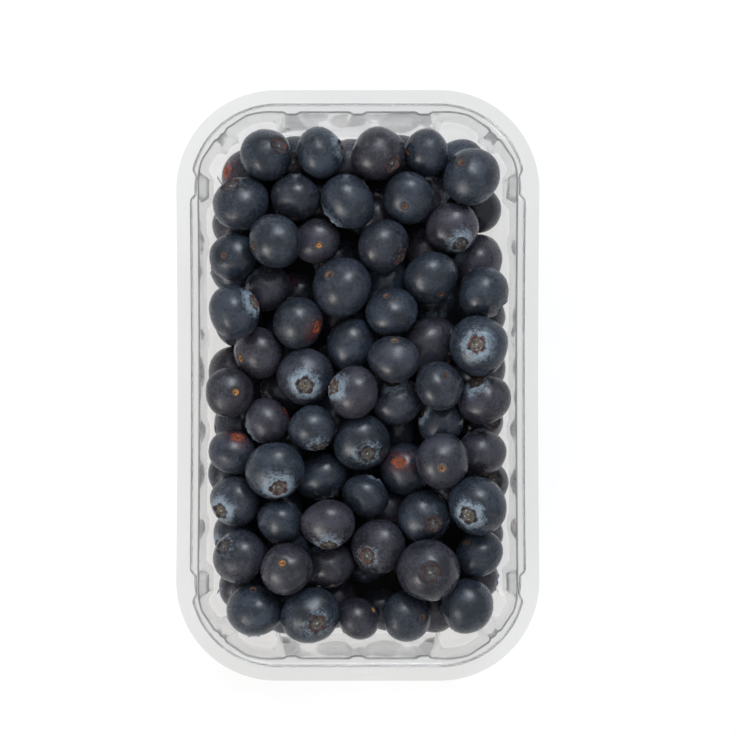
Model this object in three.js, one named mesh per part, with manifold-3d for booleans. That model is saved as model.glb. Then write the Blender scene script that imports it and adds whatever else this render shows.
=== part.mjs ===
// A punnet of blueberries: a thin clear tray with a flat sealing flange, a
// ledge, ribbed walls and four denesting lugs, and the heap of berries in it.
// Millimetres, +Z up. The origin is on the ground under the middle of the
// tray, which is longest along Y.

import * as THREE from "three";
import { mergeVertices } from "three/addons/utils/BufferGeometryUtils.js";
import Module from "manifold-3d";

const wasm = await Module();
wasm.setup();

// ---------------------------------------------------------------------------
// Driving dimensions of the tray
// ---------------------------------------------------------------------------

const RIM_LENGTH = 187;
const RIM_WIDTH = 115;
const TRAY_HEIGHT = 47;
const SHEET = 0.6; // thickness of the plastic
const CORNER_RADIUS = 31.7; // outer corner of the flange
const WAIST = 0.4; // how far the long sides draw in at their middle
const FLANGE_WIDTH = 4.8;
const STEP_DEPTH = 3; // from the flange down to the ledge
const STEP_LEAN = 0.3; // how far the step leans in
const LEDGE_WIDTH = 2;
const WALL_LEAN = 1.4; // how far a plain wall leans in from ledge to floor
const FOOT_RADIUS = 2.5; // rounding between wall and floor
const CORNER_FULLNESS = 0.25; // how far the faceted corner stands out of its arc
const CORNER_FACET = Math.PI / 8; // angle that each of a corner's two facets spans

// Ribs press the walls inwards and deepen towards the floor.
const RIB_CREST = 1.25; // half width of a rib's flat crest at the ledge
const RIB_HALF = 2.9; // half width of a rib with its flanks at the ledge
const RIB_TOP_DEPTH = 0.65;
const END_RIB_PITCH = 21; // three ribs on each end wall
const END_RIB_FOOT_DEPTH = 4.7;
const END_RIB_FOOT_CREST = 4.5;
const END_RIB_FOOT_HALF = 6.5;
const END_POCKET_FOOT = 7; // where the pockets between the end ribs run out
const POCKET_RUN = 0.6; // share of the wall's height that these pockets take
const CORNER_RIB_FOOT_DEPTH = 2.4;
const CORNER_RIB_FOOT_CREST = 3;
const CORNER_RIB_FOOT_HALF = 5;
const SIDE_RIBS_AT = [15, 45]; // from the middle of a long side, both ways
const SIDE_RIB_DEPTH = 0.8;
const SIDE_RIB_CREST = 1;
const SIDE_RIB_HALF = 4.5;
const SIDE_RIB_FELT = 1.3; // how far a side rib holds berries off the wall
const SIDE_RIB_FELT_HALF = 3.3;
const SIDE_RIB_RISE = 0.4; // share of the wall's height that its rounded top takes

// Lugs close the ledge on the long sides, so that stacked trays come apart.
const LUG_AT = 63.2; // from the middle of a long side, along the outline
const LUG_CREST = 2.5;
const LUG_HALF = 5;
const LUG_FOOT_CREST = 3.5;
const LUG_FOOT_HALF = 7;
const LUG_SHELF = 1.5; // how far the flange comes in over a lug
const LUG_DEPTH = 2.4;
const LUG_FELT = 4.3; // half width that holds berries off by the lug's whole depth
const LUG_RISE = 0.3; // share of the wall's height where a lug is at full depth

// ---------------------------------------------------------------------------
// Driving dimensions of the berries
// ---------------------------------------------------------------------------

const BERRY_COUNT = 112;
const BERRY_RADIUS_LOW = 7;
const BERRY_RADIUS_HIGH = 9.9;
const BERRY_WAIST = 1.04; // half width across the berry, over its mean radius
const BERRY_POLE_LOW = 0.86; // half height along its axis, over its mean radius
const BERRY_POLE_HIGH = 0.96;
const BERRY_GAP = 0.7; // between a berry's mean sphere and the plastic
const HEAP_TOP = 41.2; // highest point that a berry's mean sphere reaches
const RIB_CLEAR = 7; // beyond a rib's flank, where a berry no longer feels it
const RIB_FADE = 4;
const BERRY_SEED = 139;
const BERRY_FACES = [9, 6]; // sides round the axis and rows from pole to pole
const LOW_BERRY_FACES = [6, 4]; // the same for the berries on the floor
const LOW_BERRY = 16; // centre height under which a berry lies on the floor

// The heap settles in equal steps: every berry falls a little and is shaken,
// then berries that overlap push each other apart.
const SETTLE_STEPS = 1200;
const FALL = 0.3;
const FALL_SHARE = 0.9; // share of the steps with a fall
const SHAKE = 0.5;
const SHAKE_SHARE = 0.7; // share of the steps with a shake
const START_SPREAD = 14; // reach of the cloud that the berries fall from
const START_HEIGHT = 34;
const NEIGHBOUR_REACH = 22; // berries further apart than this can't touch soon
const NEIGHBOUR_STEPS = 10; // steps between two searches for neighbours

// The core fills the heap out of sight, and a strut carries each berry on top
// that the core doesn't reach.
const CORE_REACH = 12.5;
const CORE_BEVEL = 4;
const CORE_BOTTOM = 6.5;
const CORE_TOP = 20.5;
const CORE_BITE = 1.5; // least depth that a berry sinks into the core
const STRUT_RADIUS = 2;

// ---------------------------------------------------------------------------
// Derived sizes. A reach is a distance outwards from the rectangle whose
// corners are the centres of the four corner arcs.
// ---------------------------------------------------------------------------

const CENTRE_X = RIM_WIDTH / 2 - CORNER_RADIUS;
const CENTRE_Y = RIM_LENGTH / 2 - CORNER_RADIUS;
const FLANGE_REACH = CORNER_RADIUS;
const STEP_REACH = FLANGE_REACH - FLANGE_WIDTH;
const LEDGE_REACH = STEP_REACH - STEP_LEAN;
const WALL_REACH = LEDGE_REACH - LEDGE_WIDTH;
const WALL_TOP = TRAY_HEIGHT - STEP_DEPTH;
const WALL_FOOT = SHEET + FOOT_RADIUS;
const CORNER_ARC = (WALL_REACH * Math.PI) / 2;
const QUARTER = CENTRE_Y + CORNER_ARC + CENTRE_X;

const clamp = (value, low, high) => Math.min(Math.max(value, low), high);
const mix = (from, to, share) => from + (to - from) * share;

// ---------------------------------------------------------------------------
// Tray
// ---------------------------------------------------------------------------

// One station is a column of points down the wall. It stands `top` along the
// quarter outline at the ledge and `foot` at the floor. `lift` tells how much
// of its rib's depth it takes at the ledge and at the floor.
function station(kind, top, foot = top, lift = [0, 0]) {
  return { kind, top, foot, lift };
}

function rib(kind, at, crest, half, footCrest = crest, footHalf = half) {
  return [
    station(kind, at - half, at - footHalf),
    station(kind, at - crest, at - footCrest, [1, 1]),
    station(kind, at + crest, at + footCrest, [1, 1]),
    station(kind, at + half, at + footHalf),
  ];
}

// The quarter outline runs from the middle of a long side, round the corner,
// to the middle of an end.
function quarterStations() {
  const cornerAt = (share) => CENTRE_Y + CORNER_ARC * share;
  const plain = (share) => station("plain", cornerAt(share));
  const outerRib = QUARTER - END_RIB_PITCH;
  const pocketLift = [0, 1];
  return [
    ...SIDE_RIBS_AT.flatMap((at) => rib("side", at, SIDE_RIB_CREST, SIDE_RIB_HALF)),
    ...rib("lug", LUG_AT, LUG_CREST, LUG_HALF, LUG_FOOT_CREST, LUG_FOOT_HALF),
    plain(0.25),
    plain(0.335),
    ...rib("corner", cornerAt(0.5), RIB_CREST, RIB_HALF, CORNER_RIB_FOOT_CREST, CORNER_RIB_FOOT_HALF),
    plain(0.665),
    plain(0.75),
    plain(0.875),
    station("end", outerRib - RIB_HALF, outerRib - END_RIB_FOOT_HALF),
    station("end", outerRib - RIB_CREST, outerRib - END_RIB_FOOT_CREST, [1, 1]),
    station("end", outerRib + RIB_CREST, outerRib + END_RIB_FOOT_CREST, [1, 1]),
    station("end", outerRib + RIB_HALF, outerRib + END_POCKET_FOOT, pocketLift),
    station("end", QUARTER - RIB_HALF, QUARTER - END_POCKET_FOOT, pocketLift),
    station("end", QUARTER - RIB_CREST, QUARTER - END_RIB_FOOT_CREST, [1, 1]),
  ];
}

// How deep a rib is at a share of the way from the ledge down to the floor.
const RIB_DEPTHS = {
  plain: () => 0,
  side: (down) => SIDE_RIB_DEPTH * Math.min(down / SIDE_RIB_RISE, 1),
  lug: (down) => LUG_DEPTH * Math.min(down / LUG_RISE, 1),
  corner: (down) => mix(RIB_TOP_DEPTH, CORNER_RIB_FOOT_DEPTH, down),
  end: (down) => mix(RIB_TOP_DEPTH, END_RIB_FOOT_DEPTH, down),
};

// The corner of the wall is two flat facets instead of a plain arc.
function cornerBulge(angle) {
  const offMiddle = Math.abs(angle - Math.PI / 4);
  const edge = WALL_REACH * (1 / Math.cos(CORNER_FACET / 2) - 1) + CORNER_FULLNESS;
  if (offMiddle <= CORNER_FACET) {
    const offFacet = offMiddle - CORNER_FACET / 2;
    return WALL_REACH * (1 / Math.cos(offFacet) - 1) + CORNER_FULLNESS;
  }
  return edge * clamp((Math.PI / 4 - offMiddle) / (Math.PI / 4 - CORNER_FACET), 0, 1);
}

// A point of one of the four quarters, at a place along the outline.
function outlinePoint(along, reach, bulge, height, signX, signY) {
  const angle = clamp((along - CENTRE_Y) / WALL_REACH, 0, Math.PI / 2);
  const outwards = reach + bulge * cornerBulge(angle);
  let x = CENTRE_X + outwards * Math.cos(angle);
  let y = CENTRE_Y + outwards * Math.sin(angle);
  if (along < CENTRE_Y) {
    y = along;
    x -= WAIST * (1 - (along / CENTRE_Y) ** 2);
  } else if (along > CENTRE_Y + CORNER_ARC) {
    x = QUARTER - along;
  }
  return new THREE.Vector3(signX * x, signY * y, height);
}

// The upper surface of the sheet at one station, from the floor outwards to
// the edge of the flange. `side` is 0 for the upper surface, 1 for the lower.
function stationProfile(post, side) {
  const points = [];
  const add = (share, reach, bulge, height) => {
    points.push({ along: mix(post.top, post.foot, share), reach, bulge, height });
  };
  const depthAt = (down) => {
    const closing = Math.min(down / POCKET_RUN, 1);
    return RIB_DEPTHS[post.kind](down) * mix(post.lift[0], post.lift[1], closing);
  };
  const thick = SHEET * side;
  const foot = WALL_REACH - WALL_LEAN - depthAt(1) - FOOT_RADIUS;
  for (const angle of [0, Math.PI / 4]) {
    const radius = FOOT_RADIUS + thick;
    add(1, foot + radius * Math.sin(angle), 1, WALL_FOOT - radius * Math.cos(angle));
  }
  for (const down of [1, 0.62, SIDE_RIB_RISE, LUG_RISE]) {
    const reach = WALL_REACH - WALL_LEAN * down - depthAt(down);
    add(down, reach + thick, 1, mix(WALL_TOP, WALL_FOOT, down));
  }
  const isLug = post.kind === "lug" && post.lift[0] === 1;
  const ledgeInset = isLug ? LUG_SHELF : 0;
  const ledgeBottom = WALL_TOP - thick;
  add(0, WALL_REACH - depthAt(0) + thick, 1, ledgeBottom);
  add(0, LEDGE_REACH - ledgeInset + thick, 0, ledgeBottom);
  add(0, STEP_REACH - ledgeInset + thick, 0, TRAY_HEIGHT - thick);
  add(0, FLANGE_REACH, 0, TRAY_HEIGHT - thick);
  return points;
}

// All columns of the tray in order round the outline, anticlockwise from above.
function trayColumns(side) {
  const quarter = quarterStations();
  const turned = [...quarter].reverse();
  const quadrants = [
    [quarter, 1, 1],
    [turned, -1, 1],
    [quarter, -1, -1],
    [turned, 1, -1],
  ];
  return quadrants.flatMap(([posts, signX, signY]) =>
    posts.map((post) =>
      stationProfile(post, side).map(({ along, reach, bulge, height }) =>
        outlinePoint(along, reach, bulge, height, signX, signY),
      ),
    ),
  );
}

function trayGeometry() {
  const upper = trayColumns(0);
  const lower = trayColumns(1).map((column) => [...column].reverse());
  const columns = upper.map((column, index) => [...column, ...lower[index]]);
  const rings = columns[0].length;
  const count = columns.length;
  const points = columns.flat();
  const floorTop = points.push(new THREE.Vector3(0, 0, SHEET)) - 1;
  const floorBottom = points.push(new THREE.Vector3(0, 0, 0)) - 1;
  const index = [];
  for (let column = 0; column < count; column += 1) {
    const here = column * rings;
    const next = ((column + 1) % count) * rings;
    index.push(floorTop, here, next);
    for (let ring = 0; ring < rings - 1; ring += 1) {
      index.push(here + ring, here + ring + 1, next + ring + 1);
      index.push(here + ring, next + ring + 1, next + ring);
    }
    index.push(here + rings - 1, floorBottom, next + rings - 1);
  }
  const geometry = new THREE.BufferGeometry().setFromPoints(points);
  geometry.setIndex(index);
  geometry.computeVertexNormals();
  return geometry;
}

// ---------------------------------------------------------------------------
// Heap of berries
// ---------------------------------------------------------------------------

// Seeded draws between 0 and 1 from a multiplicative generator.
function makeDraw(seed) {
  let value = seed;
  return () => {
    value = (value * 16807) % 2147483647;
    return value / 2147483647;
  };
}

// How much of a rib's depth a berry feels at a distance from the rib's middle.
function ribShare(off, half) {
  return clamp((half + RIB_CLEAR - off) / RIB_FADE, 0, 1);
}

// The reach of the free space inside the wall at a place, with its ribs.
function freeReach(x, y, z) {
  const down = clamp((WALL_TOP - z) / (WALL_TOP - WALL_FOOT), 0, 1);
  const overX = Math.abs(x) - CENTRE_X;
  const overY = Math.abs(y) - CENTRE_Y;
  const endRise = mix(RIB_TOP_DEPTH, END_RIB_FOOT_DEPTH, down);
  const lugRise = LUG_DEPTH * ribShare(Math.abs(overY), LUG_FELT);
  let rise;
  if (overX > 0 && overY > 0) {
    const offMiddle = Math.abs(overX - overY) * Math.SQRT1_2;
    const cornerRise = mix(RIB_TOP_DEPTH, CORNER_RIB_FOOT_DEPTH, down);
    rise = Math.max(
      cornerRise * ribShare(offMiddle, CORNER_RIB_FOOT_HALF),
      endRise * ribShare(overX, 0),
      lugRise,
    );
  } else if (overY > overX) {
    rise = endRise;
  } else {
    const offRib = Math.min(...SIDE_RIBS_AT.map((at) => Math.abs(Math.abs(y) - at)));
    rise = Math.max(SIDE_RIB_FELT * ribShare(offRib, SIDE_RIB_FELT_HALF), lugRise);
  }
  return WALL_REACH - WALL_LEAN * down - rise;
}

// Keeps a berry over the floor and inside the walls.
function holdInside(berry) {
  const { x, y, radius } = berry;
  berry.z = clamp(berry.z, SHEET + radius + BERRY_GAP, HEAP_TOP - radius);
  const limit = freeReach(x, y, berry.z) - radius - BERRY_GAP;
  const signX = x > 0 ? 1 : -1;
  const signY = y > 0 ? 1 : -1;
  const overX = Math.abs(x) - CENTRE_X;
  const overY = Math.abs(y) - CENTRE_Y;
  if (overX > 0 && overY > 0) {
    const out = Math.sqrt(overX * overX + overY * overY);
    if (out > limit) {
      berry.x = signX * (CENTRE_X + (overX * limit) / out);
      berry.y = signY * (CENTRE_Y + (overY * limit) / out);
    }
    return;
  }
  if (overX > limit) {
    berry.x = signX * (CENTRE_X + limit);
  }
  if (overY > limit) {
    berry.y = signY * (CENTRE_Y + limit);
  }
}

function pushApart(a, b) {
  const dx = a.x - b.x;
  const dy = a.y - b.y;
  const dz = a.z - b.z;
  const square = dx * dx + dy * dy + dz * dz;
  const reach = a.radius + b.radius;
  if (square < reach * reach && square > 0) {
    const distance = Math.sqrt(square);
    const push = (0.5 * (reach - distance)) / distance;
    a.x += dx * push;
    a.y += dy * push;
    a.z += dz * push;
    b.x -= dx * push;
    b.y -= dy * push;
    b.z -= dz * push;
  }
}

function nearPairs(berries) {
  const pairs = [];
  berries.forEach((a, index) => {
    for (let other = index + 1; other < berries.length; other += 1) {
      const b = berries[other];
      const dx = a.x - b.x;
      const dy = a.y - b.y;
      const dz = a.z - b.z;
      if (dx * dx + dy * dy + dz * dz < NEIGHBOUR_REACH * NEIGHBOUR_REACH) {
        pairs.push([a, b]);
      }
    }
  });
  return pairs;
}

// A direction drawn evenly over the sphere.
function drawAxis(draw) {
  for (;;) {
    const x = 2 * draw() - 1;
    const y = 2 * draw() - 1;
    const z = 2 * draw() - 1;
    const square = x * x + y * y + z * z;
    if (square < 1 && square > 0.01) {
      const length = Math.sqrt(square);
      return new THREE.Vector3(x / length, y / length, z / length);
    }
  }
}

function settledBerries() {
  const draw = makeDraw(BERRY_SEED);
  const berries = [];
  for (let index = 0; index < BERRY_COUNT; index += 1) {
    const share = (draw() + draw()) / 2;
    const radius = mix(BERRY_RADIUS_LOW, BERRY_RADIUS_HIGH, share);
    const x = (2 * draw() - 1) * (CENTRE_X + START_SPREAD);
    const y = (2 * draw() - 1) * (CENTRE_Y + START_SPREAD);
    const z = SHEET + radius + (index * START_HEIGHT) / BERRY_COUNT;
    berries.push({ x, y, z, radius });
  }
  let pairs = [];
  for (let step = 0; step < SETTLE_STEPS; step += 1) {
    if (step % NEIGHBOUR_STEPS === 0) {
      pairs = nearPairs(berries);
    }
    const done = step / SETTLE_STEPS;
    const fall = done > FALL_SHARE ? 0 : FALL * (1 - done);
    const shake = SHAKE * clamp(1 - done / SHAKE_SHARE, 0, 1);
    for (const berry of berries) {
      berry.x += shake * (2 * draw() - 1);
      berry.y += shake * (2 * draw() - 1);
      berry.z += 0.5 * shake * (2 * draw() - 1) - fall;
    }
    for (const [a, b] of pairs) {
      pushApart(a, b);
    }
    berries.forEach(holdInside);
  }
  for (const berry of berries) {
    berry.axis = drawAxis(draw);
    berry.pole = mix(BERRY_POLE_LOW, BERRY_POLE_HIGH, draw());
  }
  return berries;
}

// Turns a closed geometry into a solid that can be joined to others.
function toSolid(geometry) {
  const bare = new THREE.BufferGeometry();
  bare.setAttribute("position", geometry.getAttribute("position"));
  bare.setIndex(geometry.getIndex());
  const merged = mergeVertices(bare);
  const mesh = new wasm.Mesh({
    numProp: 3,
    vertProperties: new Float32Array(merged.getAttribute("position").array),
    triVerts: new Uint32Array(merged.getIndex().array),
  });
  return new wasm.Manifold(mesh);
}

function toGeometry(solid) {
  const { vertProperties, triVerts } = solid.getMesh();
  const geometry = new THREE.BufferGeometry();
  geometry.setAttribute("position", new THREE.BufferAttribute(vertProperties, 3));
  geometry.setIndex(new THREE.BufferAttribute(triVerts, 1));
  geometry.computeVertexNormals();
  return geometry;
}

// A berry is a slightly flattened ball with few sides.
function berryGeometry({ x, y, z, radius, axis, pole }) {
  const across = radius * BERRY_WAIST;
  const [sides, rows] = z < LOW_BERRY ? LOW_BERRY_FACES : BERRY_FACES;
  const geometry = new THREE.SphereGeometry(1, sides, rows);
  const turn = new THREE.Quaternion().setFromUnitVectors(new THREE.Vector3(0, 1, 0), axis);
  const size = new THREE.Vector3(across, radius * pole, across);
  return geometry.applyMatrix4(new THREE.Matrix4().compose(new THREE.Vector3(x, y, z), turn, size));
}

function coreGeometry() {
  const outline = new THREE.Shape();
  const right = CENTRE_X + CORE_REACH;
  const back = CENTRE_Y + CORE_REACH;
  outline.moveTo(right, -CENTRE_Y);
  outline.lineTo(right, CENTRE_Y);
  outline.absarc(CENTRE_X, CENTRE_Y, CORE_REACH, 0, Math.PI / 2);
  outline.lineTo(-CENTRE_X, back);
  outline.absarc(-CENTRE_X, CENTRE_Y, CORE_REACH, Math.PI / 2, Math.PI);
  outline.lineTo(-right, -CENTRE_Y);
  outline.absarc(-CENTRE_X, -CENTRE_Y, CORE_REACH, Math.PI, 1.5 * Math.PI);
  outline.lineTo(CENTRE_X, -back);
  outline.absarc(CENTRE_X, -CENTRE_Y, CORE_REACH, 1.5 * Math.PI, 2 * Math.PI);
  const geometry = new THREE.ExtrudeGeometry(outline, {
    depth: CORE_TOP - CORE_BOTTOM - 2 * CORE_BEVEL,
    curveSegments: 3,
    bevelSize: CORE_BEVEL,
    bevelThickness: CORE_BEVEL,
    bevelSegments: 1,
  });
  return geometry.translate(0, 0, CORE_BOTTOM + CORE_BEVEL);
}

// A strut joins a berry on top of the heap to the core under it.
function strutGeometry({ x, y, z }) {
  const foot = CORE_TOP - CORE_BITE;
  const geometry = new THREE.CylinderGeometry(STRUT_RADIUS, STRUT_RADIUS, z - foot, 5);
  return geometry.rotateX(Math.PI / 2).translate(x, y, (z + foot) / 2);
}

function heapGeometry() {
  let heap = toSolid(coreGeometry());
  for (const berry of settledBerries()) {
    heap = heap.add(toSolid(berryGeometry(berry)));
    if (berry.z - berry.radius * BERRY_POLE_LOW > CORE_TOP - CORE_BITE) {
      heap = heap.add(toSolid(strutGeometry(berry)));
    }
  }
  // The largest body is the heap with its sealed hollows filled.
  const bodies = heap.decompose().sort((a, b) => b.volume() - a.volume());
  return toGeometry(bodies[0]);
}

// ---------------------------------------------------------------------------
// Scene graph
// ---------------------------------------------------------------------------

const clearPlastic = new THREE.MeshStandardMaterial({
  color: 0xe8ebe9,
  roughness: 0.12,
  metalness: 0,
  transparent: true,
  opacity: 0.35,
});

const berrySkin = new THREE.MeshStandardMaterial({
  color: 0x39414f,
  roughness: 0.48,
  metalness: 0,
});

function namedMesh(name, geometry, material) {
  const mesh = new THREE.Mesh(geometry, material);
  mesh.name = name;
  return mesh;
}

const punnetOfBlueberries = new THREE.Group();
punnetOfBlueberries.name = "punnet_of_blueberries";
punnetOfBlueberries.add(
  namedMesh("punnet", trayGeometry(), clearPlastic),
  namedMesh("berries", heapGeometry(), berrySkin),
);

export default punnetOfBlueberries;
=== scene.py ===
"""A punnet of blueberries: a clear ribbed tray and the loose heap of berries in it."""

import math
from functools import lru_cache
from itertools import combinations
from typing import NamedTuple

import bpy
from bpy.props import FloatProperty, FloatVectorProperty, IntProperty, PointerProperty
from bpy.types import Operator, Panel, PropertyGroup
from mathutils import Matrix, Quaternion, Vector


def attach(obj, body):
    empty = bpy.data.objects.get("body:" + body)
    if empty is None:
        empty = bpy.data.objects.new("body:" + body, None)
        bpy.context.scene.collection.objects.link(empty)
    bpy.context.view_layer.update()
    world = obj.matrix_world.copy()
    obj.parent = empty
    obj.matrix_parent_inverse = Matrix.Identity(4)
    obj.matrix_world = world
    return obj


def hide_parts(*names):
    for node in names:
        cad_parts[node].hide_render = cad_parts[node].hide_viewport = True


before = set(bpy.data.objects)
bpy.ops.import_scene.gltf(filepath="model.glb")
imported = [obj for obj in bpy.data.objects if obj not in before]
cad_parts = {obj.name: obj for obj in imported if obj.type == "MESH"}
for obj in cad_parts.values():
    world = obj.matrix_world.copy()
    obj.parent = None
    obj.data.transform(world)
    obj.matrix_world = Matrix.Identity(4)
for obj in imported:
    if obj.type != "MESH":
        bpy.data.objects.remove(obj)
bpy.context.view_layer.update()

bl_info = {
    "name": "Punnet of Blueberries",
    "version": (1, 0, 0),
    "blender": (4, 5, 0),
    "location": "3D Viewport > Sidebar > Punnet",
    "description": "Builds a clear ribbed tray and its loose heap of blueberries",
    "category": "Object",
}

MM = 0.001

# Fixed sizes of the tray, in millimetres. A share of the wall's height is counted from the ledge
# down. A rib's widths are half its crest's and half its own, at the ledge and then at the floor

STEP_LEAN = 0.3  # how far the step leans in
WALL_LEAN = 1.4  # how far a plain wall leans in from ledge to floor
FOOT_RADIUS = 2.5  # rounding between wall and floor
CORNER_FULLNESS = 0.25  # how far the faceted corner stands out of its arc
CORNER_FACET = math.pi / 8  # angle that each of a corner's two facets spans

RIB_CREST = 1.25
RIB_HALF = 2.9
RIB_TOP_DEPTH = 0.65
END_RIB_WIDTHS = (RIB_CREST, RIB_HALF, 4.5, 6.5)
END_RIB_PITCH = 21
END_RIB_FOOT_DEPTH = 4.7
END_POCKET_FOOT = 7  # where the pockets between the end ribs run out
POCKET_RUN = 0.6  # share of the wall's height that these pockets take
CORNER_RIB_WIDTHS = (RIB_CREST, RIB_HALF, 3, 5)
CORNER_RIB_FOOT_DEPTH = 2.4
SIDE_RIBS_AT = (15, 45)  # from the middle of a long side, both ways
SIDE_RIB_WIDTHS = (1, 4.5, 1, 4.5)
SIDE_RIB_DEPTH = 0.8
SIDE_RIB_FELT = 1.3  # how far a side rib holds berries off the wall
SIDE_RIB_FELT_HALF = 3.3
SIDE_RIB_RISE = 0.4  # share of the wall's height that its rounded top takes

LUG_AT = 63.2  # from the middle of a long side, along the outline
LUG_WIDTHS = (2.5, 5, 3.5, 7)
LUG_SHELF = 1.5  # how far the flange comes in over a lug
LUG_DEPTH = 2.4
LUG_FELT = 4.3  # half width that holds berries off by the lug's whole depth
LUG_RISE = 0.3  # share of the wall's height where a lug is at full depth

THIN_SHARE = 0.12  # share of the light that passes the thin sheet unbent
COLUMN_GAP = 1.3  # between two columns of the tray's mesh
WALL_ROWS = (1, 0.88, 0.76, 0.64, 0.52, 0.4, 0.3, 0.22, 0.15, 0.1, 0.06, 0.03)
FOOT_ROWS = 6
BEND_ROWS = 4
BEND_SHARE = 0.45  # share of a flat that a bend takes, at most
FLANK_COLUMNS = 4  # columns on a rib's flank, at least
CREASE = 50  # degrees between two faces past which their edge stays sharp
FLOOR_RINGS = (0.85, 0.65, 0.45, 0.25)

# Fixed sizes of the heap, in millimetres

BERRY_GAP = 0.7  # between a berry's mean sphere and the plastic
HEAP_TOP = 41.2  # highest point that a berry's mean sphere reaches
BERRY_WAIST = 1.04  # half width across the berry, over its mean radius
BERRY_POLE_LOW = 0.86  # half height along its axis, over its mean radius
BERRY_POLE_HIGH = 0.96
BERRY_OVAL = 0.03  # how far its section may depart from a circle
RIB_CLEAR = 7  # beyond a rib's flank, where a berry no longer feels it
RIB_FADE = 4
SETTLE_STEPS = 1200
FALL = 0.3
FALL_SHARE = 0.9  # share of the steps with a fall
SHAKE = 0.5
SHAKE_SHARE = 0.7  # share of the steps with a shake
SHAKE_UP = 0.5  # up and down, over that sideways
START_SPREAD = 14  # reach of the cloud that the berries fall from
START_HEIGHT = 34
NEIGHBOUR_REACH = 22  # berries further apart than this can't touch soon
NEIGHBOUR_STEPS = 10  # steps between two searches for neighbours
DRAW_FACTOR = 16807  # of the multiplicative generator that draws
DRAW_MODULUS = 2147483647
SHORTEST_DRAW = 0.01  # square of the shortest draw that gives a direction

CORE_REACH = 11  # the core that closes the middle of the heap to light
CORE_TAPER = 4
CORE_BOTTOM = 8.5
CORE_TOP = 12.5
CORE_RINGS = 9
CORE_COLUMNS = 96
CORE_FULLNESS = 1.3  # how square it is seen from above
CORE_LUMP = 0.8
CORE_LUMP_LONG = (2.6, 3.1)  # reach of a lump across and along the tray

# Shape of one berry of radius 1, with its crown up and its stem scar down

SKIN_COLUMNS = 30
SKIN_ANGLES = (8, 14, 18, 22, 27, 33, 42, 53, 65, 77, 90, 103, 116, 128, 139, 149, 157, 164, 171)
SKIN_DIP = 0.07  # depth of the skin under the crown
SKIN_DIP_EDGE = 0.3
SKIN_DIP_SLOPE = 0.08
COLLAR_SWELL = 0.03  # swelling of the skin round the crown
COLLAR_AT = 0.4
COLLAR_WIDTH = 0.08
SCAR_DIP = 0.09
SCAR_DIP_WIDTH = 0.13

CROWN_LOBES = 5
CROWN_COLUMNS = 40
CROWN_RINGS = (0.035, 0.075, 0.14, 0.19, 0.23, 0.27, 0.31, 0.35, 0.39, 0.44)
CROWN_FLOOR = 0.935
CROWN_NUB = 0.02
CROWN_NUB_WIDTH = 0.05
CROWN_CREST = 1.01
CROWN_CREST_AT = 0.25
CROWN_SLOPE = 0.1
CROWN_EDGE = 0.96  # sunk into the skin
CROWN_EDGE_AT = 0.43
CROWN_LOBE_RISE = 0.065
CROWN_LOBE_REACH = 0.06
CROWN_LOBE_POWER = 0.8
CROWN_KNOT_WIDTH = 0.07  # of the dry tip of a lobe

SCAR_COLUMNS = 20
SCAR_PROFILE = ((0.04, 0.93), (0.075, 0.94), (0.1, 0.97), (0.13, 1.0), (0.165, 1.002), (0.22, 0.96))
SCAR_FLOOR = 0.935

HOLLOW_SCALE = 75.0  # noise scales are per metre
HOLLOW_RISE = (0.35, 0.75)  # noise between which a hollow deepens
RAG_SCALE = 900.0

# Surroundings, in metres

TABLE_GAP = 0.00005  # between the tray and the table, which keeps their faces apart
LIGHT_PARTS = (("light", 0.6, 1.5), ("screen", 1.6, 1.6))  # width and distance of a light's parts
COOL_LIGHT = (0.18, 0.7, 0.7), (0.86, 0.93, 1.0)  # the way it comes from, and its tint
WARM_LIGHT = (-0.6, -0.6, 0.51), (1.0, 0.955, 0.89)
SKY_FADE = (0.0, 0.7)  # heights on a unit dome between which the sky brightens
SKY_LOW = (0.6, 0.6, 0.6)  # brightness at the horizon, over that overhead
WHITE = (1.0, 1.0, 1.0)
FILM_WIDTH = 36  # in millimetres
VIEW_RANGE = (0.1, 50)

# Grain of the finishes: scale per metre, detail and roughness of a noise

PLASTIC_WAVE = (45, 2)
PLASTIC_RIPPLE = (350, 2)
PLASTIC_HAZE = (130, 3)
SKIN_FINE = (2400, 2, 0.7)
SKIN_MIDDLE = (800, 3, 0.6)
SKIN_BROAD = (150, 2)
SKIN_STREAK = (2.5, 3)  # per radius of a berry, on stretched places
STREAK_STRETCH = (3, 3, 12)
STREAK_APART = (9, 9, 9)  # how far apart two berries' streaks are taken
FLESH_PATCH = (420, 3, 0.6)
CROWN_FINE = (2600, 3, 0.7)
CROWN_COARSE = (900, 2)
SCAR_FINE = (3000, 3, 0.7)
SCAR_COARSE = (1200, 2)
CORE_BLOTCH = (300, 3)
TABLE_SPECK = (4, 2)

# Relief of the finishes: height in metres and strength

PLASTIC_RELIEF = (0.0005, 0.3)
SKIN_RELIEF = (0.0001, 0.35)
CROWN_RELIEF = (0.0002, 0.6)
SCAR_RELIEF = (0.00015, 0.6)

# Tints of the finishes, in linear light. A finish varies between the two of a pair

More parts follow.
